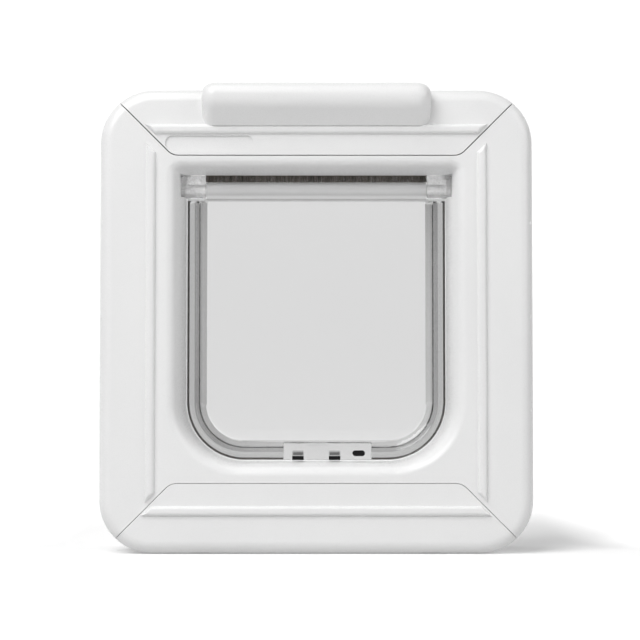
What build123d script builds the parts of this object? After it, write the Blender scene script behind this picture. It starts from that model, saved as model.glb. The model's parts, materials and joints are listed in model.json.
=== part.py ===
from build123d import *
import os

# A cat flap for a door panel, in millimetres. The show face looks along -Y, +Z is up,
# and the part stands on z = 0 with the origin at the middle of its footprint.

# Front and rear frames
frame_width = 240.0
frame_height = 257.0
frame_corner = 30.0  # corner radius seen from the front
front_depth = 26.0  # show face to door face
front_round = 7.5  # rounding of the show edge
rear_depth = 14.0
rear_round = 5.0
door_thickness = 40.0  # panel clamped between the two frames
wall = 2.5  # general wall of the mouldings
rib = 1.8
rib_setback = 3.0  # ribs stop short of the door face
rib_pitch = 52.0
rib_count = 3

# Opening, funnel and tunnel
opening_width = 146.0
opening_bottom = 50.5  # frame's lower edge to the sill
soffit_drop = 46.5  # frame's upper edge to the soffit
opening_corner = 33.0  # lower corners of the tunnel
opening_top_corner = 3.0
flare_side = 6.5  # how much wider the mouth is than the throat, each side
flare_level = 3.7  # the same at the sill and the soffit
funnel_depth = 13.0
mouth_round = 6.0
sleeve_reach = 26.0  # front sleeve, past the door face
sleeve_overlap = 10.0  # rear sleeve over the front one
sleeve_slip = 0.5
rear_mouth_bevel = 2.0

# Clip-on covers
deck_depth = 8.5  # show face to the deck that carries a cover
top_seam_gap = 0.5
bottom_seam_gap = 0.25
top_seam_drop = 37.0  # from the frame's upper edge
top_seam_half = 79.5  # half length of the level part of the seam
bottom_seam_z = 38.7
bottom_seam_half = 80.0
seam_corner = 8.0
notch_centre = 63.5  # prising notches in the lower cover
notch_width = 9.3
notch_height = 1.6
notch_depth = 4.0

# Raised beads
bead_width = 5.4
bead_height = 2.2
bead_taper = 18.0
bead_round = 1.8
top_bead_drop = 22.7  # from the frame's upper edge
top_bead_half = 92.0
bottom_bead_z = 23.8
bottom_bead_half = 93.6
side_bead_x = 91.4
side_bead_bottom = 31.0
side_bead_drop = 33.0  # upper end, from the frame's upper edge

# Hood on the top cover
hood_half = 63.3
hood_rise = 2.5  # crest above the frame's upper edge
hood_drop = 21.0  # underside, from the frame's upper edge
hood_round = 10.0  # radius of the nose
hood_foot = 3.0  # how far the underside stands out where it starts
hood_end_round = 8.0
hood_wall = 2.0

# Bare pocket in the top cover
pocket_left = -83.4
pocket_right = -34.9
pocket_drop = 26.4  # upper side, from the frame's upper edge
pocket_height = 8.6
pocket_depth = 0.9
pocket_corner = 3.5

# Clips behind the covers
clip_width = 10.0
clip_thickness = 1.6
clip_barb = 0.9
clip_barb_length = 2.0
clip_clearance = 0.3
clip_inset = 5.5  # from the seam to the middle of a clip
outer_clip_inset = 8.5  # from the frame's edge to the middle of a clip
clip_x = 45.0
top_outer_clip_x = 76.0

# Fixing screws
screw_x = 82.0
screw_inset = 20.0  # from the frame's upper and lower edges
screw_radius = 1.95
screw_head_radius = 4.0
screw_head_height = 2.6
screw_head_bevel = 0.8
screw_recess_length = 4.4
screw_recess_depth = 1.4
screw_recess_width = 1.1
screw_engagement = 9.0  # in the rear boss
screw_clearance = 0.35
pilot_clearance = 0.05
boss_radius = 5.0
boss_floor = 1.5  # left at the end of a blind boss

# Flap and its hinge
hinge_setback = 19.0  # show face to hinge axis
hinge_drop = 8.0  # soffit to hinge axis
bar_radius = 4.1
journal_radius = 3.0
journal_length = 9.5
journal_clearance = 0.05
shoulder_gap = 0.3  # bar end to bearing block
flap_gap = 0.8  # rim to tunnel
rim_width = 11.0
rim_bead = 6.6  # outer part of the rim, the rest slopes to the panel
rim_thickness = 9.0
rim_round = 2.7
ledge_thickness = 3.4  # where the slope starts at the foot of the bead
rim_drop = 6.0  # hinge axis down to the rim's top ends
panel_thickness = 2.4
panel_top_corner = 3.0
neck_thickness = 5.0  # web between the bar and the panel

# Bearing blocks
block_inner = 61.9  # inner face, from the middle
block_reach = 75.8
block_radius = 4.7  # rounded lower half
block_round = 2.5
block_clearance = 0.1
peg_radius = 2.0
peg_length = 3.0
peg_clearance = 0.05
housing_wall = 2.2

# Brush seals
pile_width = 3.6
backing_width = 5.0
backing_thickness = 1.0
slot_clearance = 0.2
pile_gap = 0.3  # tip of the pile to what it brushes
rail_wall = 1.4
edge_groove_width = 2.6
edge_groove_depth = 1.8
edge_pile_width = 2.2

# Catch block in the flap's lower rim
catch_left = -18.2
catch_right = 30.7
catch_gap = 0.7  # to the sill
catch_thickness = 10.0
catch_height = 9.1
magnet_x = 10.2
magnet_width = 6.3
magnet_height = 2.2
magnet_clearance = 0.05
tab_left = -4.7
tab_right = 6.9
tab_height = 8.4
tab_proud = 0.8
slug_x = 23.6
slug_length = 6.9
slug_height = 3.1
slug_depth = 5.0
slug_rise = 3.8  # above the block's lower edge

# Magnets under the sill
sill_magnet_length = 6.0
sill_magnet_height = 3.2
sill_skin = 1.2  # plastic left above a magnet
keeper_boss_half = 19.0
keeper_boss_depth = 12.0
keeper_boss_drop = 2.0  # below the tunnel's underside
retainer_thickness = 2.0
retainer_corner = 2.0
retainer_slot = 0.8
retainer_screw_radius = 1.2
retainer_screw_reach = 3.0  # into the boss
retainer_head_radius = 2.4
retainer_head_height = 1.4

# Stations along the depth
hood_reach = hood_foot + hood_round
overall_depth = hood_reach + front_depth + door_thickness + rear_depth
face_y = hood_reach - overall_depth / 2
deck_y = face_y + deck_depth
deck_back_y = deck_y + wall
throat_y = face_y + funnel_depth
hinge_y = face_y + hinge_setback
door_y = face_y + front_depth
sleeve_end_y = door_y + sleeve_reach
rear_flange_y = door_y + door_thickness
rear_sleeve_y = sleeve_end_y - sleeve_overlap
rear_y = rear_flange_y + rear_depth
back = (0, 1, 0)

# Heights
opening_top = frame_height - soffit_drop
top_seam_z = frame_height - top_seam_drop
top_bead_z = frame_height - top_bead_drop
side_bead_top = frame_height - side_bead_drop
hood_top = frame_height + hood_rise
hood_bottom = frame_height - hood_drop
pocket_high = frame_height - pocket_drop
pocket_low = pocket_high - pocket_height
hinge_z = opening_top - hinge_drop
rib_middle = (opening_bottom + opening_top) / 2
rib_levels = [rib_middle + (i - (rib_count - 1) / 2) * rib_pitch for i in range(rib_count)]

screw_points = [
    (x, z) for z in (frame_height - screw_inset, screw_inset) for x in (-screw_x, screw_x)
]
flap_half = opening_width / 2 - flap_gap
flap_bottom = opening_bottom + flap_gap
rim_top = hinge_z - rim_drop
catch_bottom = opening_bottom + catch_gap
bar_half = block_inner - shoulder_gap
block_top = opening_top - block_clearance
catch_top = catch_bottom + catch_height
magnet_top = catch_bottom + magnet_height
slug_z = catch_bottom + slug_rise
slug_front_y = hinge_y - catch_thickness / 2
keeper_bottom = opening_bottom - wall - keeper_boss_drop
sill_magnet_top = keeper_bottom + sill_magnet_height
slot_head = opening_top + wall
pile_tip = hinge_z + bar_radius + pile_gap
sides = {"left": -1, "right": 1}
os.makedirs("parts", exist_ok=True)


def station(y):
    """The plane across the depth at y, with the sketch's second axis along +Z."""
    return Plane.XZ.offset(-y)


def frame_outline(y, inset=0.0):
    with BuildSketch(station(y)) as outline:
        with Locations((0, frame_height / 2)):
            RectangleRounded(
                frame_width - 2 * inset, frame_height - 2 * inset, frame_corner - inset
            )
    return outline.sketch


def opening_outline(y, grow=0.0, side=0.0, level=0.0):
    """The tunnel's section with small upper and large lower corners."""
    half = opening_width / 2 + grow + side
    low = opening_bottom - grow - level
    high = opening_top + grow + level
    with BuildSketch(station(y)) as outline:
        with BuildLine():
            Polyline((-half, low), (half, low), (half, high), (-half, high), close=True)
        make_face()
        fillet(outline.vertices().group_by(Axis.Y)[0], opening_corner + grow + level)
        fillet(outline.vertices().group_by(Axis.Y)[-1], opening_top_corner + grow)
    return outline.sketch


def cover_outline(y, seam_z, seam_half, up, grow=0.0):
    """A cover's field: a level seam with 45 degree mitres that run out past the frame."""
    run = frame_width / 2
    with BuildSketch(station(y)) as outline:
        with BuildLine():
            Polyline(
                (-seam_half, seam_z),
                (seam_half, seam_z),
                (seam_half + run, seam_z + up * run),
                (-seam_half - run, seam_z + up * run),
                close=True,
            )
        make_face()
        fillet(outline.vertices().group_by(Axis.Y)[0 if up > 0 else -1], seam_corner)
        offset(amount=grow, kind=Kind.INTERSECTION, mode=Mode.REPLACE)
    return outline.sketch


def bead_outline(y, centre, half, width, upright, outward):
    """A bead's foot: a long strip with ends mitred at 45 degrees, longer on its outward side."""
    inner, outer = half - width / 2, half + width / 2
    low, high = (inner, outer) if outward > 0 else (outer, inner)
    strip = [(-low, -width / 2), (low, -width / 2), (high, width / 2), (-high, width / 2)]
    if upright:
        strip = [(v, u) for u, v in strip]
    with BuildSketch(station(y)) as outline:
        with BuildLine():
            Polyline(*[(centre[0] + u, centre[1] + v) for u, v in strip], close=True)
        make_face()
    return outline.sketch


def flap_outline(y, grow=0.0, top_corner=0.0):
    """The flap's U-shaped field, offset from the rim's outer edge by grow."""
    half = flap_half + grow
    low = flap_bottom - grow
    with BuildSketch(station(y)) as outline:
        with BuildLine():
            Polyline((-half, low), (half, low), (half, rim_top), (-half, rim_top), close=True)
        make_face()
        fillet(outline.vertices().group_by(Axis.Y)[0], opening_corner - flap_gap + grow)
        if top_corner:
            fillet(outline.vertices().group_by(Axis.Y)[-1], top_corner)
    return outline.sketch


def box_between(low, high):
    """A block between two corners."""
    with BuildPart() as block:
        with Locations(tuple((a + b) / 2 for a, b in zip(low, high))):
            Box(*[b - a for a, b in zip(low, high)])
    return block.part


covers = {
    "top": (top_seam_z, top_seam_half, 1),
    "bottom": (bottom_seam_z, bottom_seam_half, -1),
}
seams = {"top": top_seam_gap, "bottom": bottom_seam_gap}
clips = {
    "top": [
        (side * x, z, barb)
        for side in (-1, 1)
        for x, z, barb in (
            (clip_x, top_seam_z + clip_inset, -1),
            (top_outer_clip_x, frame_height - outer_clip_inset, 1),
        )
    ],
    "bottom": [
        (side * clip_x, z, barb)
        for side in (-1, 1)
        for z, barb in ((bottom_seam_z - clip_inset, 1), (outer_clip_inset, -1))
    ],
}

# The front moulding's outer form and the space inside its wall
with BuildPart() as front_envelope:
    extrude(frame_outline(door_y), amount=front_depth)
    fillet(front_envelope.faces().sort_by(Axis.Y)[0].edges(), front_round)

with BuildPart() as front_cavity:
    extrude(frame_outline(door_y, wall), amount=front_depth - wall)
    chamfer(front_cavity.faces().sort_by(Axis.Y)[0].edges(), front_round - wall)


def cover_well(name):
    """The deck under a cover, with the return wall along its seam."""
    with BuildPart() as well:
        extrude(cover_outline(deck_back_y, *covers[name], seams[name] + wall), amount=deck_depth + wall)
        add(front_envelope.part, mode=Mode.INTERSECT)
    return well.part


wells = [cover_well(name) for name in covers]

# Front frame: rails, funnel, tunnel, decks, hinge housings and the pockets under the sill
with BuildPart() as front_frame:
    add(front_envelope.part)
    add(front_cavity.part, mode=Mode.SUBTRACT)
    loft(
        [
            opening_outline(face_y, wall, flare_side, flare_level),
            opening_outline(throat_y, wall),
        ]
    )
    extrude(opening_outline(throat_y, wall), amount=sleeve_end_y - throat_y, dir=back)
    add(wells)
    # Screw bosses from the decks to the door face
    with BuildSketch(station(door_y)):
        with Locations(*screw_points):
            Circle(boss_radius)
    extrude(amount=door_y - deck_y)
    # Ribs between the outer wall and the tunnel
    with BuildSketch(station(door_y - rib_setback)):
        rib_length = frame_width / 2 - opening_width / 2 - wall
        rib_centre = frame_width / 4 + opening_width / 4
        with Locations(*[(side * rib_centre, z) for side in (-1, 1) for z in rib_levels]):
            Rectangle(rib_length, rib)
    extrude(amount=front_depth - rib_setback - wall)
    # Housings behind the bearing blocks, the seal rail over the soffit, the boss under the sill
    housing_half = block_radius + block_clearance + housing_wall
    for side in sides.values():
        reach = block_reach + block_clearance + housing_wall
        add(
            box_between(
                (min(0, side * reach), hinge_y - housing_half, hinge_z - housing_half),
                (max(0, side * reach), hinge_y + housing_half, opening_top + wall),
            )
        )
    rail_half = backing_width / 2 + slot_clearance + rail_wall
    rail_top = slot_head + backing_thickness + 2 * slot_clearance + rail_wall
    add(
        box_between(
            (-block_inner, hinge_y - rail_half, opening_top),
            (block_inner, hinge_y + rail_half, rail_top),
        )
    )
    add(
        box_between(
            (-keeper_boss_half, hinge_y - keeper_boss_depth / 2, keeper_bottom),
            (keeper_boss_half, hinge_y + keeper_boss_depth / 2, opening_bottom),
        )
    )
    # Way through: funnel, then tunnel
    loft(
        [opening_outline(face_y, 0, flare_side, flare_level), opening_outline(throat_y)],
        mode=Mode.SUBTRACT,
    )
    extrude(
        opening_outline(throat_y),
        amount=sleeve_end_y - throat_y,
        dir=back,
        mode=Mode.SUBTRACT,
    )
    for name, field in covers.items():
        extrude(
            cover_outline(deck_y, *field, seams[name]), amount=deck_depth, mode=Mode.SUBTRACT
        )
    fillet(front_frame.faces().sort_by(Axis.Y)[0].inner_wires()[0].edges(), mouth_round)
    # Seats for the bearing blocks, open to the front, with a hole for each block's peg
    for side in sides.values():
        reach = side * (block_reach + block_clearance)
        seat_back = hinge_y + block_radius + block_clearance
        add(
            box_between(
                (min(0, reach), face_y, hinge_z - block_radius - block_clearance),
                (max(0, reach), seat_back, opening_top),
            ),
            mode=Mode.SUBTRACT,
        )
        with BuildSketch(Plane.YZ.offset(reach)):
            with Locations((hinge_y, hinge_z)):
                Circle(peg_radius + peg_clearance)
        extrude(amount=side * (housing_wall + peg_length), mode=Mode.SUBTRACT)
    # T slot for the brush over the hinge bar
    with BuildSketch(Plane.YZ.offset(-block_inner)):
        with Locations((hinge_y, (opening_top + slot_head) / 2)):
            Rectangle(pile_width + 2 * slot_clearance, slot_head - opening_top)
        with Locations((hinge_y, slot_head + backing_thickness / 2 + slot_clearance)):
            Rectangle(backing_width + 2 * slot_clearance, backing_thickness + 2 * slot_clearance)
    extrude(amount=2 * block_inner, mode=Mode.SUBTRACT)
    # Pockets for the sill magnets, with the retainer's screw hole between them
    with BuildSketch(Plane.XY.offset(keeper_bottom)):
        with Locations((-magnet_x, hinge_y), (magnet_x, hinge_y)):
            Rectangle(magnet_width + 2 * magnet_clearance, sill_magnet_length + 2 * magnet_clearance)
    extrude(amount=opening_bottom - sill_skin - keeper_bottom, mode=Mode.SUBTRACT)
    with BuildSketch(Plane.XY.offset(keeper_bottom)):
        with Locations((0, hinge_y)):
            Circle(retainer_screw_radius + pilot_clearance)
    extrude(amount=retainer_screw_reach + pilot_clearance, mode=Mode.SUBTRACT)
    # Screw holes and clip slots through the decks
    with BuildSketch(station(door_y)):
        with Locations(*screw_points):
            Circle(screw_radius + screw_clearance)
    extrude(amount=door_y - deck_y, mode=Mode.SUBTRACT)
    with BuildSketch(station(deck_back_y)):
        for x, z, barb in clips["top"] + clips["bottom"]:
            with Locations((x, z + barb * clip_barb / 2)):
                Rectangle(
                    clip_width + 2 * clip_clearance,
                    clip_thickness + clip_barb + 2 * clip_clearance,
                )
    extrude(amount=wall, mode=Mode.SUBTRACT)
    # Beads down the side rails
    side_bead_half = (side_bead_top - side_bead_bottom) / 2
    side_bead_z = (side_bead_top + side_bead_bottom) / 2
    for side in sides.values():
        extrude(
            bead_outline(face_y, (side * side_bead_x, side_bead_z), side_bead_half, bead_width, True, side),
            amount=bead_height,
            taper=bead_taper,
        )
    bead_tops = front_frame.faces().filter_by(Axis.Y).sort_by(Axis.Y)[:2]
    fillet(bead_tops.edges(), bead_round)
front_frame.part.label = "front_frame"
export_step(front_frame.part, "parts/front_frame.step")


def hood_profile(plane, inset):
    """The hood's section: a slanted underside and a full nose that falls back to the frame."""
    middle = face_y - hood_foot
    low = hood_bottom + inset
    radius = hood_round - inset
    rise = hood_top - hood_round - low
    # The underside runs from its foot to where it touches the nose
    slant = (rise**2 - radius**2) ** 0.5
    touch = (middle - radius * slant / rise, low + slant**2 / rise)
    crest = (middle, hood_top - inset)
    rear_edge = (deck_y, frame_height - inset)
    with BuildSketch(plane) as profile:
        with BuildLine():
            Polyline(rear_edge, (deck_y, low), (middle, low), touch)
            RadiusArc(touch, crest, radius)
            TangentArc(crest, rear_edge, tangent=(1, 0))
        make_face()
    return profile.sketch


def hood_body(half, inset=0.0):
    with BuildPart() as hood:
        extrude(hood_profile(Plane.YZ.offset(-half), inset), amount=2 * half)
    return hood.part


def cover_shell(name):
    """A cover's skin, open towards its deck."""
    field = covers[name]
    with BuildPart() as inside:
        extrude(cover_outline(deck_y, *field, -wall), amount=deck_depth - wall)
        add(front_cavity.part, mode=Mode.INTERSECT)
    with BuildPart() as shell:
        extrude(cover_outline(deck_y, *field), amount=deck_depth)
        add(front_envelope.part, mode=Mode.INTERSECT)
        add(inside.part, mode=Mode.SUBTRACT)
    return shell.part


def clip_legs(name):
    """Legs with a barb that catches behind the deck."""
    leg_start = face_y + wall / 2
    barb_start = deck_back_y + clip_clearance
    with BuildPart() as legs:
        for x, z, barb in clips[name]:
            inner, outer = z - clip_thickness / 2, z + clip_thickness / 2
            add(
                box_between(
                    (x - clip_width / 2, leg_start, inner),
                    (x + clip_width / 2, barb_start + clip_barb_length, outer),
                )
            )
            with BuildSketch(Plane.YZ.offset(x - clip_width / 2)):
                root = z + barb * clip_thickness / 2
                with BuildLine():
                    Polyline(
                        (barb_start, root),
                        (barb_start, root + barb * clip_barb),
                        (barb_start + clip_barb_length, root),
                        close=True,
                    )
                make_face()
            extrude(amount=clip_width)
    return legs.part


top_shell, bottom_shell = cover_shell("top"), cover_shell("bottom")
top_legs, bottom_legs = clip_legs("top"), clip_legs("bottom")

# Hood with rounded ends, hollow between them
with BuildPart() as hood_outside:
    add(hood_body(hood_half))
    ends = hood_outside.faces().filter_by(Axis.X)
    fillet([e for e in ends.edges() if e.center().Y < face_y], hood_end_round)

# Top cover with its hood, bead and bare pocket
with BuildPart() as top_cover:
    add(top_shell)
    extrude(
        bead_outline(face_y, (0, top_bead_z), top_bead_half, bead_width, False, 1),
        amount=bead_height,
        taper=bead_taper,
    )
    fillet(top_cover.faces().sort_by(Axis.Y)[0].edges(), bead_round)
    add(hood_outside.part)
    add(hood_body(hood_half - hood_end_round, hood_wall), mode=Mode.SUBTRACT)
    with BuildSketch(station(face_y)):
        with Locations(((pocket_left + pocket_right) / 2, (pocket_low + pocket_high) / 2)):
            RectangleRounded(pocket_right - pocket_left, pocket_high - pocket_low, pocket_corner)
    extrude(amount=-pocket_depth, mode=Mode.SUBTRACT)
    add(top_legs)
top_cover.part.label = "top_cover"
export_step(top_cover.part, "parts/top_cover.step")

# Bottom cover with its bead and prising notches
with BuildPart() as bottom_cover:
    add(bottom_shell)
    extrude(
        bead_outline(face_y, (0, bottom_bead_z), bottom_bead_half, bead_width, False, -1),
        amount=bead_height,
        taper=bead_taper,
    )
    fillet(bottom_cover.faces().sort_by(Axis.Y)[0].edges(), bead_round)
    for side in sides.values():
        centre = side * notch_centre
        add(
            box_between(
                (centre - notch_width / 2, deck_y - notch_depth, 0),
                (centre + notch_width / 2, deck_y, notch_height),
            ),
            mode=Mode.SUBTRACT,
        )
    add(bottom_legs)
bottom_cover.part.label = "bottom_cover"
export_step(bottom_cover.part, "parts/bottom_cover.step")

# Rear frame with the sleeve that slides over the front one
rear_grow = wall + sleeve_slip
with BuildPart() as rear_cavity:
    extrude(frame_outline(rear_flange_y, wall), amount=rear_depth - wall, dir=back)
    chamfer(rear_cavity.faces().sort_by(Axis.Y)[-1].edges(), rear_round - wall)

with BuildPart() as rear_frame:
    extrude(frame_outline(rear_flange_y), amount=rear_depth, dir=back)
    fillet(rear_frame.faces().sort_by(Axis.Y)[-1].edges(), rear_round)
    add(rear_cavity.part, mode=Mode.SUBTRACT)
    extrude(opening_outline(rear_sleeve_y, rear_grow + wall), amount=rear_y - rear_sleeve_y, dir=back)
    with BuildSketch(station(rear_flange_y)):
        with Locations(*screw_points):
            Circle(boss_radius)
    extrude(amount=-rear_depth + wall)
    with BuildSketch(station(rear_flange_y + rib_setback)):
        with Locations(*[(side * rib_centre, z) for side in (-1, 1) for z in rib_levels]):
            Rectangle(rib_length, rib)
    extrude(amount=-rear_depth + rib_setback + wall)
    extrude(
        opening_outline(rear_sleeve_y, rear_grow),
        amount=rear_y - rear_sleeve_y,
        dir=back,
        mode=Mode.SUBTRACT,
    )
    chamfer(rear_frame.faces().sort_by(Axis.Y)[-1].inner_wires()[0].edges(), rear_mouth_bevel)
    with BuildSketch(station(rear_flange_y)):
        with Locations(*screw_points):
            Circle(screw_radius + pilot_clearance)
    extrude(amount=-rear_depth + boss_floor, mode=Mode.SUBTRACT)
rear_frame.part.label = "rear_frame"
export_step(rear_frame.part, "parts/rear_frame.step")

# Clear flap: hinge bar with journals, neck, beaded rim, thin panel and catch block
with BuildPart() as flap:
    extrude(flap_outline(hinge_y), amount=rim_thickness / 2, both=True)
    for face_side in (-1, 1):
        extrude(
            flap_outline(hinge_y + face_side * ledge_thickness / 2, -rim_bead),
            amount=rim_thickness,
            dir=(0, face_side, 0),
            mode=Mode.SUBTRACT,
        )
    bead_faces = flap.faces().sort_by(Axis.Y)
    fillet(bead_faces[0].edges() + bead_faces[-1].edges(), rim_round)
    with BuildSketch(Plane.YZ):
        with Locations((hinge_y, hinge_z)):
            Circle(bar_radius)
        with Locations((hinge_y, (hinge_z + rim_top) / 2)):
            Rectangle(neck_thickness, hinge_z - rim_top)
    extrude(amount=bar_half, both=True)
    with BuildSketch(Plane.YZ):
        with Locations((hinge_y, hinge_z)):
            Circle(journal_radius)
    extrude(amount=bar_half + journal_length, both=True)
    # Thin panel, reached by a slope from the foot of the bead on both faces
    for face_side in (-1, 1):
        loft(
            [
                flap_outline(hinge_y + face_side * panel_thickness / 2, -rim_width, panel_top_corner),
                flap_outline(hinge_y + face_side * ledge_thickness / 2, -rim_bead, panel_top_corner),
            ],
            mode=Mode.SUBTRACT,
        )
    # Groove round the edge for the pile
    with BuildSketch(station(hinge_y)):
        add(flap_outline(hinge_y))
        add(flap_outline(hinge_y, -edge_groove_depth), mode=Mode.SUBTRACT)
    extrude(amount=edge_groove_width / 2, both=True, mode=Mode.SUBTRACT)
    # Catch block across the lower rim, with a raised tab, magnet seats and the slug's pocket
    add(
        box_between(
            (catch_left, hinge_y - catch_thickness / 2, catch_bottom),
            (catch_right, hinge_y + catch_thickness / 2, catch_top),
        )
    )
    add(
        box_between(
            (tab_left, hinge_y - catch_thickness / 2 - tab_proud, catch_bottom),
            (tab_right, hinge_y, catch_bottom + tab_height),
        )
    )
    for side in sides.values():
        seat = magnet_width / 2 + magnet_clearance
        add(
            box_between(
                (side * magnet_x - seat, hinge_y - catch_thickness / 2, catch_bottom),
                (side * magnet_x + seat, hinge_y + catch_thickness / 2, magnet_top + magnet_clearance),
            ),
            mode=Mode.SUBTRACT,
        )
    with BuildSketch(station(slug_front_y)):
        with Locations((slug_x, slug_z)):
            SlotOverall(slug_length + 2 * magnet_clearance, slug_height + 2 * magnet_clearance)
    extrude(amount=-slug_depth, mode=Mode.SUBTRACT)
flap.part.label = "flap"
export_step(flap.part, "parts/flap.step")

# Magnets pressed into the flap's lower edge, facing those under the sill
for name, side in sides.items():
    with BuildPart() as flap_magnet:
        add(
            box_between(
                (side * magnet_x - magnet_width / 2, hinge_y - catch_thickness / 2, catch_bottom),
                (side * magnet_x + magnet_width / 2, hinge_y + catch_thickness / 2, magnet_top),
            )
        )
    flap_magnet.part.label = f"flap_magnet_{name}"
    export_step(flap_magnet.part, f"parts/flap_magnet_{name}.step")

    with BuildPart() as sill_magnet:
        add(
            box_between(
                (side * magnet_x - magnet_width / 2, hinge_y - sill_magnet_length / 2, keeper_bottom),
                (side * magnet_x + magnet_width / 2, hinge_y + sill_magnet_length / 2, sill_magnet_top),
            )
        )
    sill_magnet.part.label = f"sill_magnet_{name}"
    export_step(sill_magnet.part, f"parts/sill_magnet_{name}.step")

with BuildPart() as flap_slug:
    with BuildSketch(station(slug_front_y)):
        with Locations((slug_x, slug_z)):
            SlotOverall(slug_length, slug_height)
    extrude(amount=-slug_depth)
flap_slug.part.label = "flap_slug"
export_step(flap_slug.part, "parts/flap_slug.step")

# Retainer under the sill magnets and its screw
with BuildPart() as magnet_retainer:
    with BuildSketch(Plane.XY.offset(keeper_bottom)):
        with Locations((0, hinge_y)):
            RectangleRounded(2 * keeper_boss_half, keeper_boss_depth, retainer_corner)
            Circle(retainer_screw_radius + screw_clearance, mode=Mode.SUBTRACT)
    extrude(amount=-retainer_thickness)
magnet_retainer.part.label = "magnet_retainer"
export_step(magnet_retainer.part, "parts/magnet_retainer.step")

with BuildPart() as retainer_screw:
    with BuildSketch(Plane.XY.offset(keeper_bottom - retainer_thickness)):
        with Locations((0, hinge_y)):
            Circle(retainer_screw_radius)
    extrude(amount=retainer_thickness + retainer_screw_reach)
    with BuildSketch(Plane.XY.offset(keeper_bottom - retainer_thickness)):
        with Locations((0, hinge_y)):
            Circle(retainer_head_radius)
    extrude(amount=-retainer_head_height)
    with BuildSketch(Plane.XY.offset(keeper_bottom - retainer_thickness - retainer_head_height)):
        with Locations((0, hinge_y)):
            Rectangle(2 * retainer_head_radius, retainer_slot)
    extrude(amount=retainer_head_height / 2, mode=Mode.SUBTRACT)
retainer_screw.part.label = "retainer_screw"
export_step(retainer_screw.part, "parts/retainer_screw.step")

# Bearing blocks: a rounded lower half, a bore for the journal and a peg into the housing
for name, side in sides.items():
    with BuildPart() as hinge_block:
        with BuildSketch(Plane.YZ.offset(side * block_inner)):
            with Locations((hinge_y, hinge_z)):
                Circle(block_radius)
            with Locations((hinge_y, (hinge_z + block_top) / 2)):
                Rectangle(2 * block_radius, block_top - hinge_z)
        extrude(amount=side * (block_reach - block_inner))
        outer_face = hinge_block.faces().sort_by(Axis.X)[-1 if side > 0 else 0]
        fillet(outer_face.edges().sort_by(Axis.Z)[-1], block_round)
        with BuildSketch(Plane.YZ.offset(side * block_reach)):
            with Locations((hinge_y, hinge_z)):
                Circle(peg_radius)
        extrude(amount=side * peg_length)
        with BuildSketch(Plane.YZ.offset(side * block_inner)):
            with Locations((hinge_y, hinge_z)):
                Circle(journal_radius + journal_clearance)
        extrude(amount=side * (journal_length + shoulder_gap), mode=Mode.SUBTRACT)
    hinge_block.part.label = f"hinge_block_{name}"
    export_step(hinge_block.part, f"parts/hinge_block_{name}.step")

# Brush seals: a straight strip over the hinge bar, and one down each edge of the flap
with BuildPart() as top_seal:
    with BuildSketch(Plane.YZ):
        with Locations((hinge_y, (pile_tip + slot_head) / 2)):
            Rectangle(pile_width, slot_head - pile_tip)
        with Locations((hinge_y, slot_head + backing_thickness / 2)):
            Rectangle(backing_width, backing_thickness)
    extrude(amount=bar_half, both=True)
top_seal.part.label = "top_seal"
export_step(top_seal.part, "parts/top_seal.step")

for name, side in sides.items():
    end = abs(catch_left if side < 0 else catch_right) + slot_clearance
    with BuildPart() as edge_seal:
        with BuildSketch(station(hinge_y)):
            add(flap_outline(hinge_y, flap_gap - pile_gap))
            add(flap_outline(hinge_y, -edge_groove_depth), mode=Mode.SUBTRACT)
            with Locations((side * (end + frame_width / 2), frame_height / 2)):
                Rectangle(frame_width, frame_height, mode=Mode.INTERSECT)
        extrude(amount=edge_pile_width / 2, both=True)
    edge_seal.part.label = f"edge_seal_{name}"
    export_step(edge_seal.part, f"parts/edge_seal_{name}.step")

# Four fixing screws from the decks into the rear bosses
with BuildPart() as fixing_screws:
    with BuildSketch(station(deck_y)):
        with Locations(*screw_points):
            Circle(screw_head_radius)
    extrude(amount=screw_head_height)
    chamfer(fixing_screws.faces().group_by(Axis.Y)[0].edges(), screw_head_bevel)
    with BuildSketch(station(deck_y)):
        with Locations(*screw_points):
            Circle(screw_radius)
    extrude(amount=-(rear_flange_y + screw_engagement - deck_y))
    with BuildSketch(station(deck_y - screw_head_height)):
        with Locations(*screw_points):
            Rectangle(screw_recess_length, screw_recess_width)
            Rectangle(screw_recess_width, screw_recess_length)
    extrude(amount=-screw_recess_depth, mode=Mode.SUBTRACT)
fixing_screws.part.label = "fixing_screws"
export_step(fixing_screws.part, "parts/fixing_screws.step")
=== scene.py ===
import json
import math

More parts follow.
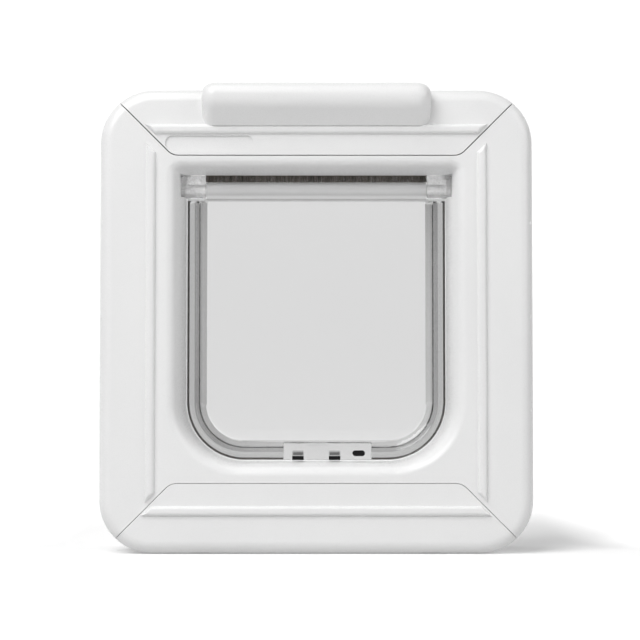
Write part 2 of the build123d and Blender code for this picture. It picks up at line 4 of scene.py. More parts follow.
import bmesh
import bpy
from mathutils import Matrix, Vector


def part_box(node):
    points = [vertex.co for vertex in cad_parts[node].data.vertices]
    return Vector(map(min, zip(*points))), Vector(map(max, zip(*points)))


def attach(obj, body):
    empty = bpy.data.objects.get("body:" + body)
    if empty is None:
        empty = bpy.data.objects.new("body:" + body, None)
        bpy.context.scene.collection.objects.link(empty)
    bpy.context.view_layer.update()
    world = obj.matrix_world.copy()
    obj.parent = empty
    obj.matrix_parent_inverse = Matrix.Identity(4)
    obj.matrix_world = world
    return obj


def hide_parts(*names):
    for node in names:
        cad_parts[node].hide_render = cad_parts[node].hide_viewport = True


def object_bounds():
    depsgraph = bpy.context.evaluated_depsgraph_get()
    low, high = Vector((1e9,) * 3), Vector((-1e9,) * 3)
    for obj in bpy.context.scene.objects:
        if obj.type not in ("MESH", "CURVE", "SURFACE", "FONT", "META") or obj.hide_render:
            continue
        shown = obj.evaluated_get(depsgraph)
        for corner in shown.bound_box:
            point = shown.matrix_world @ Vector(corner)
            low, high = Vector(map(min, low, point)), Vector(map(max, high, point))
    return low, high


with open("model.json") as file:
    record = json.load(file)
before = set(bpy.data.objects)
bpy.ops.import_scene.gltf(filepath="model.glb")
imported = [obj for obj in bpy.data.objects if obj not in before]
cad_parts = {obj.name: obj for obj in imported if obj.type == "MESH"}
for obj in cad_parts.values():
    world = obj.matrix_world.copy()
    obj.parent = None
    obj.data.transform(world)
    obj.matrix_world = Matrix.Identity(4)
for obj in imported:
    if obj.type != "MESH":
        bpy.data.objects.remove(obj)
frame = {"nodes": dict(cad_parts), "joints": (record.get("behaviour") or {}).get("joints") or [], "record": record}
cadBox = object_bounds()
nodes = frame["nodes"]
bodies = frame["record"]["behaviour"]["bodies"]
mm = 0.001
slotOf = {row["node"]: row["material_slot"] for row in frame["record"]["subparts"]}
bodyOf = {node: body for body, members in bodies.items() for node in members}
hinge = Vector(frame["joints"][0]["pos_m"])
print("frame loaded:", len(nodes), "nodes")

# Helpers for node trees

noiseSpan = (0.3, 0.7)  # most of a noise lies between these
wholeSpan = (0.0, 1.0)
bevelSamples = 4


def grey(level):
    return (level, level, level)


def feed(tree, target, values):
    # a value is plain, or a node paired with one of its outputs
    for socket, value in values.items():
        if isinstance(value, tuple) and isinstance(value[0], bpy.types.Node):
            tree.links.new(value[0].outputs[value[1]], target.inputs[socket])
        else:
            target.inputs[socket].default_value = value


def addNode(tree, kind, values=None, **settings):
    node = tree.nodes.new(kind)
    for name, value in settings.items():
        setattr(node, name, value)
    feed(tree, node, values or {})
    return node


def maths(tree, operation, first, second=0.0):
    return addNode(tree, "ShaderNodeMath", {0: first, 1: second}, operation=operation), 0


def spread(tree, source, low, high, span=noiseSpan, interpolation="LINEAR"):
    # the span of the source becomes low to high
    node = addNode(tree, "ShaderNodeMapRange", {
        "Value": source, "From Min": span[0], "From Max": span[1], "To Min": low, "To Max": high,
    }, interpolation_type=interpolation)
    return node, "Result"


def tint(tree, source, low, high):
    ramp = addNode(tree, "ShaderNodeValToRGB", {"Fac": source})
    for stop, place, colour in zip(ramp.color_ramp.elements, noiseSpan, (low, high)):
        stop.position = place
        stop.color = (*colour, 1)
    return ramp, "Color"


def blend(tree, share, source, colour):
    mix = addNode(tree, "ShaderNodeMixRGB", {"Fac": share, "Color1": source, "Color2": (*colour, 1)})
    return mix, "Color"


def placeOn(tree):
    return addNode(tree, "ShaderNodeTexCoord"), "Object"


def placeApart(tree):
    return addNode(tree, "ShaderNodeSeparateXYZ", {"Vector": placeOn(tree)})


def noiseOn(tree, scale, detail, roughness=0.5, stretch=(1.0, 1.0, 1.0)):
    place = addNode(tree, "ShaderNodeMapping", {"Vector": placeOn(tree), "Scale": stretch})
    noise = addNode(tree, "ShaderNodeTexNoise", {
        "Vector": (place, "Vector"), "Scale": scale, "Detail": detail, "Roughness": roughness,
    })
    return noise, "Fac"


def bumpFrom(tree, source, look):
    bump = addNode(tree, "ShaderNodeBump", {
        "Height": source, "Distance": look["depth"], "Strength": look["strength"],
    })
    if "edge" in look:
        # moulded edges are never knife sharp
        soft = addNode(tree, "ShaderNodeBevel", {"Radius": look["edge"]}, samples=bevelSamples)
        feed(tree, bump, {"Normal": (soft, "Normal")})
    return bump, "Normal"


def newMaterial(name):
    material = bpy.data.materials.new(name)
    material.use_nodes = True
    tree = material.node_tree
    tree.nodes.clear()
    shader = addNode(tree, "ShaderNodeBsdfPrincipled")
    addNode(tree, "ShaderNodeOutputMaterial", {"Surface": (shader, "BSDF")})
    return material, tree, shader


# Finishes

whiteLook = {
    "low": grey(0.87), "high": (0.89, 0.89, 0.888), "rough": (0.24, 0.34),
    "cloud": {"scale": 22.0, "detail": 3.0}, "grain": {"scale": 2600.0, "detail": 2.0, "roughness": 0.6},
    "depth": 0.02 * mm, "strength": 0.10, "edge": 0.3 * mm, "shader": {},
}
tapeLook = {
    "low": (0.05, 0.043, 0.037), "high": (0.10, 0.087, 0.075), "rough": (0.75, 0.95),
    "grain": {"scale": 900.0, "detail": 2.0, "roughness": 0.7, "stretch": (1.0, 0.4, 1.0)},
    "depth": 0.1 * mm, "strength": 0.5, "shader": {},
}
ferriteLook = {
    "low": (0.005, 0.005, 0.006), "high": (0.014, 0.0135, 0.0135), "rough": (0.45, 0.65),
    "grain": {"scale": 1500.0, "detail": 4.0, "roughness": 0.65},
    "depth": 0.05 * mm, "strength": 0.35, "shader": {"Specular IOR Level": 0.12},
}
zincLook = {
    "low": (0.46, 0.47, 0.49), "high": (0.66, 0.66, 0.65), "rough": (0.22, 0.4),
    # the grain is drawn out along the shank
    "grain": {"scale": 700.0, "detail": 3.0, "roughness": 0.6, "stretch": (1.0, 0.2, 1.0)},
    "depth": 0.01 * mm, "strength": 0.3, "shader": {"Metallic": 1.0},
}


def grainy(name, look):
    material, tree, shader = newMaterial(name)
    grain = noiseOn(tree, **look["grain"])
    cloud = noiseOn(tree, **look["cloud"]) if "cloud" in look else grain
    feed(tree, shader, {
        "Base Color": tint(tree, cloud, look["low"], look["high"]),
        "Roughness": spread(tree, grain, *look["rough"]),
        "Normal": bumpFrom(tree, grain, look),
        **look["shader"],
    })
    return material


pileLook = {
    "dark": (0.072, 0.064, 0.055), "pale": (0.33, 0.295, 0.26), "rough": (0.55, 0.8), "sheen": 0.25,
}


def brushFibre():
    material, tree, shader = newMaterial("brushFibre")
    look = pileLook
    tone = (addNode(tree, "ShaderNodeAttribute", attribute_name="tone"), "Fac")  # one value for each fibre
    feed(tree, shader, {
        "Base Color": tint(tree, tone, look["dark"], look["pale"]),
        "Roughness": spread(tree, tone, *look["rough"]),
        "Sheen Weight": look["sheen"],
    })
    return material


# thick is the rim's painted shade, a darker grey than the thin panel, for the shaded tunnel seen through it
clearLook = {
    "thin": grey(0.71), "thick": grey(0.54), "index": 1.49, "clarity": 1.0, "rough": (0.015, 0.04),
    "wave": {"scale": 34.0, "detail": 3.0}, "depth": 0.05 * mm, "strength": 0.12, "edge": 0.4 * mm,
    "shade": grey(0.97), "bodyColour": grey(0.50), "bodyDensity": 50.0,
}
milkyLook = {
    **clearLook, "thin": grey(0.88), "thick": grey(1.0), "clarity": 0.7, "rough": (0.03, 0.08),
    "wave": {"scale": 420.0, "detail": 3.0}, "depth": 0.6 * mm, "strength": 0.9, "bodyDensity": 0.0,
}
# where the flap's clear plastic is painted: painted shade on the rim, painted light on the bar, a painted
# reflection above each magnet
zoneLook = {
    "thick": (1.9 * mm, 2.6 * mm), "catch": {"x": 6.25 * mm, "half": 24.5 * mm, "top": 61.0 * mm},
    # painted light: the bar is painted a lighter grey against the shade that falls on it under the soffit; it is
    # also milkier and rougher
    "bar": {"from": 196.0 * mm, "rough": 0.28, "milk": 0.8, "colour": grey(0.80)},
    # painted reflection: a dark smudge above each magnet
    "paintedReflection": {
        "wide": (2.5 * mm, 3.5 * mm), "foot": (0.1 * mm, 0.6 * mm), "head": (1.7 * mm, 3.4 * mm),
        "colour": grey(0.12),
    },
}


def clearMoulding(name, look):
    material, tree, shader = newMaterial(name)
    wave = noiseOn(tree, **look["wave"])  # ripple of a moulded surface
    feed(tree, shader, {"IOR": look["index"], "Normal": bumpFrom(tree, wave, look)})
    # light passes to what is behind, only a little dimmed
    path = addNode(tree, "ShaderNodeLightPath")
    through = addNode(tree, "ShaderNodeBsdfTransparent", {"Color": (*look["shade"], 1)})
    either = addNode(tree, "ShaderNodeMixShader", {
        0: (path, "Is Shadow Ray"), 1: (shader, "BSDF"), 2: (through, "BSDF"),
    })
    # the body takes up light, so a thick part looks greyer than a thin one
    body = addNode(tree, "ShaderNodeVolumeAbsorption", {
        "Color": (*look["bodyColour"], 1), "Density": look["bodyDensity"],
    })
    feed(tree, tree.get_output_node("ALL"), {"Surface": (either, "Shader"), "Volume": (body, "Volume")})
    return material, tree, shader, wave


def paintedMagnetReflection(tree, apart):
    # painted reflection: a dark smudge in the clear block above each magnet, standing in for the blurred second
    # image of the magnet
    look = zoneLook["paintedReflection"]
    low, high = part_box("flap_magnet_right")
    across = maths(tree, "SUBTRACT", maths(tree, "ABSOLUTE", (apart, "X")), (low.x + high.x) / 2)
    wide = spread(tree, maths(tree, "ABSOLUTE", across), 1.0, 0.0, look["wide"])
    above = maths(tree, "SUBTRACT", (apart, "Z"), high.z)
    foot = spread(tree, above, 0.0, 1.0, look["foot"])
    head = spread(tree, above, 1.0, 0.0, look["head"])
    return maths(tree, "MULTIPLY", wide, maths(tree, "MULTIPLY", foot, head))


def flapZones(tree):
    # painted shade and light: the rim is painted a darker grey than the panel, as painted shade for the shaded
    # tunnel seen through it, while the catch block stays light with the panel's grey; the bar is milkier and
    # painted a lighter grey, as painted light; above each magnet sits a painted reflection
    block = zoneLook["catch"]
    apart = placeApart(tree)
    deep = maths(tree, "ABSOLUTE", maths(tree, "SUBTRACT", (apart, "Y"), hinge.y))
    deep = spread(tree, deep, 0.0, 1.0, zoneLook["thick"])
    side = maths(tree, "ABSOLUTE", maths(tree, "SUBTRACT", (apart, "X"), block["x"]))
    beside = maths(tree, "GREATER_THAN", side, block["half"])
    above = maths(tree, "GREATER_THAN", (apart, "Z"), block["top"])
    # the mask of the rim's painted shade: away from the mid plane, outside the catch block
    thick = maths(tree, "MULTIPLY", deep, maths(tree, "MAXIMUM", beside, above))
    bar = maths(tree, "GREATER_THAN", (apart, "Z"), zoneLook["bar"]["from"])
    return thick, bar, paintedMagnetReflection(tree, apart)


def clearFlap():
    look, onBar = clearLook, zoneLook["bar"]
    material, tree, shader, wave = clearMoulding("clearMoulding", look)
    thick, bar, paintedReflection = flapZones(tree)
    # painted shade: the rim darker than the panel
    colour = tint(tree, thick, look["thin"], look["thick"])
    # painted light: the bar a lighter grey than the clear plastic around it
    colour = blend(tree, bar, colour, onBar["colour"])
    added = maths(tree, "MULTIPLY", bar, onBar["rough"])
    milky = look["clarity"] - onBar["milk"]
    feed(tree, shader, {
        # the painted reflection of the magnets goes over the colour
        "Base Color": blend(tree, paintedReflection, colour, zoneLook["paintedReflection"]["colour"]),
        "Roughness": maths(tree, "ADD", spread(tree, wave, *look["rough"]), added),
        "Transmission Weight": spread(tree, bar, look["clarity"], milky, wholeSpan),
    })
    return material


def milkyBearing():
    look = milkyLook
    material, tree, shader, wave = clearMoulding("milkyBearing", look)
    feed(tree, shader, {
        "Base Color": tint(tree, wave, look["thin"], look["thick"]),
        "Roughness": spread(tree, wave, *look["rough"]),
        "Transmission Weight": look["clarity"],
    })
    return material


finish = {
    "white_plastic": grainy("satinWhite", whiteLook), "clear_plastic": clearFlap(),
    "bearing": milkyBearing(), "pile": brushFibre(), "tape": grainy("wovenTape", tapeLook),
    "magnet": grainy("blackFerrite", ferriteLook), "screw_steel": grainy("zincSteel", zincLook),
}
for node, piece in nodes.items():
    piece.data.materials.clear()
    piece.data.materials.append(finish[slotOf[node]])
print("finishes made:", len(finish))

# Moulded pieces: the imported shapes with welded, evenly shaded skins

mouldings = {
    "weld": 0.002 * mm, "crease": math.radians(28.0),
    "pieces": (
        "front_frame", "top_cover", "bottom_cover", "rear_frame", "magnet_retainer",
        "flap", "hinge_block_left", "hinge_block_right",
    ),
    "bearings": ("hinge_block_left", "hinge_block_right"),
}
hoodSkin = {
    "bottom": 236.0 * mm, "crest": 259.5 * mm, "half": 63.4 * mm, "face": -33.5 * mm, "depth": 6.0 * mm,
    "push": 0.36,
}
flapSkin = {
    "foot": 1.7 * mm, "panel": 1.2 * mm, "reach": 0.05 * mm, "rise": 0.9 * mm, "rimTop": 6.0 * mm,
    "lift": 0.9 * mm, "liftFrom": 61.0 * mm, "fold": math.radians(5.0),
}


def addPiece(name, mesh):
    mesh.name = name
    piece = bpy.data.objects.new(name, mesh)
    bpy.context.scene.collection.objects.link(piece)
    return piece


def settle(piece, node):
    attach(piece, bodyOf[node])
    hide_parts(node)


def weldedShape(node):
    shape = bmesh.new()
    shape.from_mesh(nodes[node].data)
    bmesh.ops.remove_doubles(shape, verts=shape.verts, dist=mouldings["weld"])
    return shape


def smoothToCrease(shape):
    for edge in shape.edges:
        edge.smooth = edge.calc_face_angle(0.0) < mouldings["crease"]
    for face in shape.faces:
        face.smooth = True


def takeMesh(shape, name):
    mesh = bpy.data.meshes.new(name)
    shape.to_mesh(mesh)
    shape.free()
    if "custom_normal" in mesh.attributes:
        mesh.attributes.remove(mesh.attributes["custom_normal"])
    return mesh


def raiseNose(shape):
    # the nose of the hood lies high, with a long shaded underside
    look = hoodSkin
    height = look["crest"] - look["bottom"]
    for vert in shape.verts:
        forward = min(1.0, (look["face"] - vert.co.y) / look["depth"])
        share = (vert.co.z - look["bottom"]) / height
        if forward > 0 and 0 < share < 1 and abs(vert.co.x) < look["half"]:
            vert.co.z += height * forward * look["push"] * share * (1 - share)


def sharpenFlap(shape):
    # a steeper slope from the rim's bead to the panel darkens as a prism does, and ends in a clean fold
    look = flapSkin
    rimTop = hinge.z - look["rimTop"]
    for vert in shape.verts:
        side = vert.co.y - hinge.y
        if vert.co.z < rimTop and abs(abs(side) - look["foot"]) < look["reach"]:
            vert.co.y += math.copysign(look["rise"], side)
        elif abs(vert.co.z - rimTop) < look["reach"] and abs(vert.co.x) > look["liftFrom"]:
            vert.co.z += look["lift"]
    for edge in shape.edges:
        flat = all(abs(abs(vert.co.y - hinge.y) - look["panel"]) < look["reach"] for vert in edge.verts)
        if flat and edge.calc_face_angle(0.0) > look["fold"]:
            edge.smooth = False


def weldedSkin(node):
    shape = weldedShape(node)
    if node == "top_cover":
        raiseNose(shape)
    smoothToCrease(shape)
    if node == "flap":
        sharpenFlap(shape)
    mesh = takeMesh(shape, node + "_skin")
    mesh.materials.append(finish["bearing" if node in mouldings["bearings"] else slotOf[node]])
    skin = addPiece(node + "_skin", mesh)
    even = skin.modifiers.new("even shading", "WEIGHTED_NORMAL")
    even.keep_sharp = True
    settle(skin, node)


for node in mouldings["pieces"]:
    weldedSkin(node)
print("moulded pieces:", len(mouldings["pieces"]))

# Helpers for what repeats

def openTree(name, inputs):
    tree = bpy.data.node_groups.new(name, "GeometryNodeTree")
    for label, kind in {"Geometry": "NodeSocketGeometry", **inputs}.items():
        tree.interface.new_socket(label, in_out="INPUT", socket_type=kind)
    tree.interface.new_socket("Geometry", in_out="OUTPUT", socket_type="NodeSocketGeometry")
    return tree, addNode(tree, "NodeGroupInput")


def closeTree(tree, instances, given):
    real = addNode(tree, "GeometryNodeRealizeInstances", {"Geometry": instances})
    painted = addNode(tree, "GeometryNodeSetMaterial", {
        "Geometry": (real, "Geometry"), "Material": (given, "Material"),
    })
    addNode(tree, "NodeGroupOutput", {"Geometry": (painted, "Geometry")})
    return tree


def grown(tree, start, values):
    seedling = addPiece("seedling", start)
    growth = seedling.modifiers.new("growth", "NODES")
    growth.node_group = tree
    for item in tree.interface.items_tree:
        if item.in_out == "INPUT" and item.name in values:
            growth[item.identifier] = values[item.name]
    bpy.context.view_layer.update()
    seen = seedling.evaluated_get(bpy.context.evaluated_depsgraph_get())
    mesh = bpy.data.meshes.new_from_object(seen)
    bpy.data.objects.remove(seedling)
    return mesh


def bridge(shape, rings):
    for a, b in zip(rings, rings[1:]):
        for i in range(len(a)):
            j = (i + 1) % len(a)
            shape.faces.new((a[i], a[j], b[j], b[i]))


# Brush seals: fibres set along a strip of woven tape

fibreLook = {"sides": 3, "tip": 0.45}
topBrush = {
    "spacing": 0.28 * mm, "rows": 13, "pileWidth": 3.6 * mm, "radius": 0.09 * mm, "lean": 0.10,
    "shortest": 0.93, "longest": 0.97, "reach": 0.2 * mm, "tape": 1.0 * mm, "tapeWidth": 5.0 * mm,
    "seed": 11,
}
edgeBrush = {
    "spacing": 0.30 * mm, "rows": 8, "pileWidth": 2.2 * mm, "radius": 0.08 * mm, "lean": 0.12,
    "shortest": 0.82, "longest": 0.97, "trim": 0.25 * mm, "tape": 0.4 * mm, "tapeWidth": 2.2 * mm,
    "depth": 2.3 * mm, "corner": 32.7 * mm, "bends": 24, "seed": 23,
}


def vectorMaths(tree, operation, first, second):
    return addNode(tree, "ShaderNodeVectorMath", {0: first, 1: second}, operation=operation), "Vector"


def scaled(tree, vector, factor):
    return addNode(tree, "ShaderNodeVectorMath", {0: vector, "Scale": factor}, operation="SCALE"), "Vector"


def randomFloat(tree, given, low, high, offset):
    # the offset keeps the draws apart; a number's limits are inputs 2 and 3, and it leaves by output 1
    seed = maths(tree, "ADD", (given, "Seed"), offset)
    draw = addNode(tree, "FunctionNodeRandomValue", {2: low, 3: high, "Seed": seed}, data_type="FLOAT")
    return draw, 1


def brushTree():
    number, count = "NodeSocketFloat", "NodeSocketInt"
    tree, given = openTree("brushPile", {
        "Spacing": number, "Rows": count, "Width": number, "Fibre Length": number, "Fibre Radius": number,
        "Lean": number, "Shortest": number, "Longest": number,
        "Seed": count, "Material": "NodeSocketMaterial",
    })
    line = addNode(tree, "GeometryNodeMeshToCurve", {"Mesh": (given, "Geometry")})
    even = addNode(tree, "GeometryNodeResampleCurve", {
        "Curve": (line, "Curve"), "Length": (given, "Spacing"),
    }, mode="LENGTH")
    points = addNode(tree, "GeometryNodeCurveToPoints", {"Curve": (even, "Curve")}, mode="EVALUATED")
    rows = addNode(tree, "GeometryNodeDuplicateElements", {
        "Geometry": (points, "Points"), "Amount": (given, "Rows"),
    }, domain="POINT")
    # scatter within the row, along the strip and across it
    along = scaled(tree, (points, "Tangent"), (given, "Spacing"))
    along = scaled(tree, along, randomFloat(tree, given, -0.5, 0.5, 1))
    across = addNode(tree, "ShaderNodeCombineXYZ", {"Y": (given, "Width")})
    across = scaled(tree, (across, "Vector"), randomFloat(tree, given, -0.5, 0.5, 2))
    place = addNode(tree, "GeometryNodeSetPosition", {
        "Geometry": (rows, "Geometry"), "Offset": vectorMaths(tree, "ADD", along, across),
    })
    # every fibre stands away from the tape, with a little lean
    outward = vectorMaths(tree, "CROSS_PRODUCT", (points, "Tangent"), (0, 1, 0))
    wander = addNode(tree, "FunctionNodeRandomValue", {
        0: (-1, -1, -1), "Seed": (given, "Seed"),
    }, data_type="FLOAT_VECTOR")
    stand = vectorMaths(tree, "ADD", outward, scaled(tree, (wander, 0), (given, "Lean")))
    turn = addNode(tree, "FunctionNodeAlignRotationToVector", {"Vector": stand}, axis="Z")
    # a fibre is a thin cone, each with a length and a tone of its own
    size = addNode(tree, "ShaderNodeCombineXYZ", {
        "X": 1.0, "Y": 1.0, "Z": randomFloat(tree, given, (given, "Shortest"), (given, "Longest"), 3),
    })
    fibre = addNode(tree, "GeometryNodeMeshCone", {
        "Vertices": fibreLook["sides"], "Depth": (given, "Fibre Length"),
        "Radius Top": maths(tree, "MULTIPLY", (given, "Fibre Radius"), fibreLook["tip"]),
        "Radius Bottom": (given, "Fibre Radius"),
    }, fill_type="NONE")
    stood = addNode(tree, "GeometryNodeInstanceOnPoints", {
        "Points": (place, "Geometry"), "Instance": (fibre, "Mesh"),
        "Rotation": (turn, "Rotation"), "Scale": (size, "Vector"),
    })
    tone = addNode(tree, "GeometryNodeStoreNamedAttribute", {
        "Geometry": (stood, "Instances"), "Name": "tone", "Value": randomFloat(tree, given, 0.0, 1.0, 4),
    }, data_type="FLOAT", domain="INSTANCE")
    return closeTree(tree, (tone, "Geometry"), given)


def polyline(points):
    mesh = bpy.data.meshes.new("path")
    mesh.from_pydata(points, [(i, i + 1) for i in range(len(points) - 1)], [])
    return mesh


def tapeStrip(points, width, thickness):
    # a flat band along the path, with its fibre side on the path
    shape = bmesh.new()
    rings = []
    path = [Vector(point) for point in points]
    half = Vector((0, width / 2, 0))
    for point, before, after in zip(path, path[:1] + path, path[1:] + path[-1:]):
        tangent = (after - before).normalized()
        back = -tangent.cross(Vector((0, 1, 0))) * thickness
        corners = (-half, half, half + back, back - half)
        rings.append([shape.verts.new(point + corner) for corner in corners])
    bridge(shape, rings)
    shape.faces.new(rings[0])
    shape.faces.new(rings[-1])
    bmesh.ops.recalc_face_normals(shape, faces=shape.faces)
    return takeMesh(shape, "tape")


def topStrip():
    look = topBrush
    low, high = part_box("top_seal")
    middle = (low.y + high.y) / 2
    root = high.z - look["tape"]
    length = (root - low.z + look["reach"]) / look["longest"]  # tips all but touch the bar
    return [(high.x - look["radius"], middle, root), (low.x + look["radius"], middle, root)], length


def edgeStrip(node, side):
    look = edgeBrush
    low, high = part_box(node)
    root = look["depth"] - look["tape"]
    middle = (low.y + high.y) / 2
    outer = max(abs(low.x), abs(high.x)) - root
    inner = min(abs(low.x), abs(high.x))
    bottom = low.z + root
    corner = look["corner"] - root
    points = [(side * inner, middle, bottom)]
    for i in range(look["bends"] + 1):
        turn = math.radians(90.0 * i / look["bends"])
        across = outer - corner + corner * math.sin(turn)
        points.append((side * across, middle, bottom + corner * (1 - math.cos(turn))))
    points.append((side * outer, middle, high.z))
    return points if side < 0 else points[::-1], root - look["trim"]


def brushSeal(node, look, points, length):
    pile = grown(brushPile, polyline(points), {
        "Spacing": look["spacing"], "Rows": look["rows"], "Width": look["pileWidth"] - 2 * look["radius"],
        "Fibre Length": length, "Fibre Radius": look["radius"], "Lean": look["lean"],
        "Shortest": look["shortest"], "Longest": look["longest"],
        "Seed": look["seed"], "Material": finish["pile"],
    })
    settle(addPiece(node + "_pile", pile), node)
    tape = tapeStrip(points, look["tapeWidth"], look["tape"])
    tape.materials.append(finish["tape"])
    settle(addPiece(node + "_tape", tape), node)
    return len(pile.polygons)


brushPile = brushTree()
faceCount = brushSeal("top_seal", topBrush, *topStrip())
for node, side in (("edge_seal_left", -1), ("edge_seal_right", 1)):
    faceCount += brushSeal(node, edgeBrush, *edgeStrip(node, side))
print("brush seals:", faceCount, "faces")

# Fixing screws: one screw with a rolled thread, set in four places

screwLook = {
    "headRadius": 4.0 * mm, "headHeight": 2.6 * mm, "margin": 0.1 * mm, "slack": 0.01 * mm,
    "plain": 2.0 * mm, "crest": 1.95 * mm, "root": 1.58 * mm, "pitch": 0.7 * mm, "steepness": 1.25,
    "point": 1.2 * mm, "tip": 0.45, "turnSteps": 16, "pitchSteps": 6,
}


def screwHead(axis, seat):
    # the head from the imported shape, cut off under its seat and moved to the axis
    shape = weldedShape("fixing_screws")
    reach = screwLook["headRadius"] + screwLook["margin"]
    end = seat + screwLook["slack"]
    far = [
        vert for vert in shape.verts
        if math.hypot(vert.co.x - axis.x, vert.co.z - axis.z) > reach or vert.co.y > end
    ]
    bmesh.ops.delete(shape, geom=far, context="VERTS")
    bmesh.ops.translate(shape, verts=shape.verts, vec=(-axis.x, 0, -axis.z))
    return shape


def shankRadius(turn, depth, length):
    # a plain neck, then a helical thread that fades out at the point
    look = screwLook
    if depth < look["plain"]:
        return look["root"]
    phase = (depth / look["pitch"] - turn / math.tau) % 1.0
    height = 1.0 - abs(2.0 * phase - 1.0)
    full = look["root"] + (look["crest"] - look["root"]) * min(1.0, look["steepness"] * height)
    taper = min(1.0, (length - depth) / look["point"])
    return full * (look["tip"] + (1 - look["tip"]) * taper)


def oneScrew():
    look = screwLook
    low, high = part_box("fixing_screws")
    axis = Vector((low.x + look["headRadius"], low.y, low.z + look["headRadius"]))
    seat = low.y + look["headHeight"]
    shape = screwHead(axis, seat)
    length = high.y - seat
    count = round(length / look["pitch"] * look["pitchSteps"])
    rings = []
    for i in range(count + 1):
        depth = length * i / count
        ring = []
        for j in range(look["turnSteps"]):
            turn = math.tau * j / look["turnSteps"]
            radius = shankRadius(turn, depth, length)
            ring.append(shape.verts.new((radius * math.cos(turn), seat + depth, radius * math.sin(turn))))
        rings.append(ring)
    bridge(shape, rings)
    shape.faces.new(rings[-1])
    bmesh.ops.recalc_face_normals(shape, faces=shape.faces)
    smoothToCrease(shape)
    return takeMesh(shape, "one_screw")


def screwTree():
    tree, given = openTree("screwSet", {"Screw": "NodeSocketObject", "Material": "NodeSocketMaterial"})
    points = addNode(tree, "GeometryNodeMeshToPoints", {"Mesh": (given, "Geometry")})
    one = addNode(tree, "GeometryNodeObjectInfo", {"Object": (given, "Screw")})
    placed = addNode(tree, "GeometryNodeInstanceOnPoints", {
        "Points": (points, "Points"), "Instance": (one, "Geometry"),
    })
    return closeTree(tree, (placed, "Instances"), given)


def fixingScrews():
    low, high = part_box("fixing_screws")
    inset = screwLook["headRadius"]
    places = [(x, 0, z) for x in (low.x + inset, high.x - inset) for z in (low.z + inset, high.z - inset)]
    spots = bpy.data.meshes.new("spots")
    spots.from_pydata(places, [], [])
    model = addPiece("one_screw", oneScrew())
    mesh = grown(screwTree(), spots, {"Screw": model, "Material": finish["screw_steel"]})
    bpy.data.objects.remove(model)
    settle(addPiece("threaded_screws", mesh), "fixing_screws")
    return len(mesh.polygons)


print("fixing screws:", fixingScrews(), "faces")

# Floor sweep, camera and lights

# least, glow, behind, beside, past, far and inFront set the floor's painted glow
sweepSet = {
    "front": -4.0, "back": 2.5, "half": 6.0, "rise": 5.0, "bend": 1.2, "steps": 16,
    "rough": 0.9, "gloss": 0.1, "white": 0.95, "bounce": 0.46, "least": 0.18, "glow": 0.66,
    "behind": (0.14, 0.60), "beside": (0.115, 0.22), "past": (-0.03, 0.06),
    "far": 0.35, "inFront": (-1.5, -0.7),
}


def sweepMesh():
    look = sweepSet
    profile = [(look["front"], 0.0), (look["back"], 0.0)]
    for step in range(1, look["steps"] + 1):
        turn = math.radians(90.0 * step / look["steps"])
        profile.append((look["back"] + look["bend"] * math.sin(turn), look["bend"] * (1 - math.cos(turn))))
    profile.append((look["back"] + look["bend"], look["rise"]))
    shape = bmesh.new()
    rows = [[shape.verts.new((x, y, z)) for x in (-look["half"], look["half"])] for y, z in profile]
    for (a, b), (c, d) in zip(rows, rows[1:]):
        shape.faces.new((a, b, d, c)).smooth = True
    return takeMesh(shape, "floor_sweep")


def glowingPaperSweep():
    # white to the eye, with less bounce on the object
    # it glows though it is no lamp: painted light, faint everywhere and stronger behind the object, beside it and
    # far in front; the glow beside the object lifts its shadow on the floor
    material, tree, shader = newMaterial("glowingPaperSweep")
    look = sweepSet
    path = addNode(tree, "ShaderNodeLightPath")
    apart = placeApart(tree)
    behind = spread(tree, (apart, "Y"), look["least"], look["glow"], look["behind"], "SMOOTHSTEP")
    beside = maths(tree, "ABSOLUTE", (apart, "X"))
    beside = spread(tree, beside, 0.0, look["glow"], look["beside"], "SMOOTHSTEP")
    beside = maths(tree, "MULTIPLY", beside, spread(tree, (apart, "Y"), 0.0, 1.0, look["past"]))
    inFront = spread(tree, (apart, "Y"), look["far"], 0.0, look["inFront"])
    feed(tree, shader, {
        "Base Color": spread(tree, (path, "Is Diffuse Ray"), look["white"], look["bounce"], wholeSpan),
        "Roughness": look["rough"], "Specular IOR Level": look["gloss"],
        "Emission Color": (*grey(1.0), 1),
        # painted light: the floor's glow
        "Emission Strength": maths(tree, "MAXIMUM", maths(tree, "MAXIMUM", behind, beside), inFront),
    })
    return material


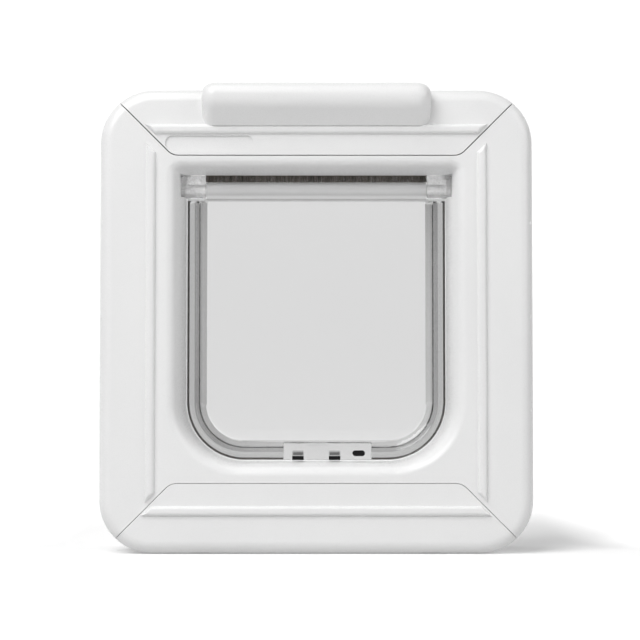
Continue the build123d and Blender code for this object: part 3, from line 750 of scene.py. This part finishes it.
def floorSweep():
    mesh = sweepMesh()
    mesh.materials.append(glowingPaperSweep())
    addPiece("floor_sweep", mesh)


cameraSet = {"distance": 1.0, "height": 0.085, "aimHeight": 0.1285, "aimSide": 0.00204, "lens": 102.5}


def addCamera():
    data = bpy.data.cameras.new("camera")
    data.lens = cameraSet["lens"]
    camera = bpy.data.objects.new("camera", data)
    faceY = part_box("front_frame")[0].y
    camera.location = (0.0, faceY - cameraSet["distance"], cameraSet["height"])
    aim = Vector((cameraSet["aimSide"], faceY, cameraSet["aimHeight"])) - camera.location
    camera.rotation_euler = aim.to_track_quat("-Z", "Y").to_euler()
    bpy.context.scene.collection.objects.link(camera)
    bpy.context.scene.camera = camera


lightSet = {
    "ambient": 0.09, "horizon": 0.6,
    "lamps": (
        {"name": "key", "from": (-1.1, -1.6, 1.8), "size": 2.0, "power": 51.0},
        {"name": "top", "from": (-0.5, -0.4, 2.3), "size": 0.8, "power": 7.0},
        {"name": "fill", "from": (1.7, -1.2, 0.95), "size": 1.8, "power": 12.5},
    ),
}


def addRoom():
    # the room past the sweep looks pale, and adds little light
    world = bpy.data.worlds.new("studio")
    bpy.context.scene.world = world
    world.use_nodes = True
    tree = world.node_tree
    path = addNode(tree, "ShaderNodeLightPath")
    seen = maths(tree, "MAXIMUM", (path, "Is Camera Ray"), (path, "Is Transmission Ray"))
    feed(tree, tree.nodes["Background"], {
        "Color": (*grey(1.0), 1),
        "Strength": spread(tree, seen, lightSet["ambient"], lightSet["horizon"], wholeSpan),
    })


def addLamps():
    middle = (cadBox[0] + cadBox[1]) / 2
    for lamp in lightSet["lamps"]:
        data = bpy.data.lights.new(lamp["name"], "AREA")
        data.shape = "DISK"
        data.size = lamp["size"]
        data.energy = lamp["power"]
        light = bpy.data.objects.new(lamp["name"], data)
        light.location = lamp["from"]
        light.rotation_euler = (middle - light.location).to_track_quat("-Z", "Y").to_euler()
        bpy.context.scene.collection.objects.link(light)


floorSweep()
addCamera()
addRoom()
addLamps()
bpy.context.scene.view_settings.view_transform = "Standard"
print("stage, camera and lights set")
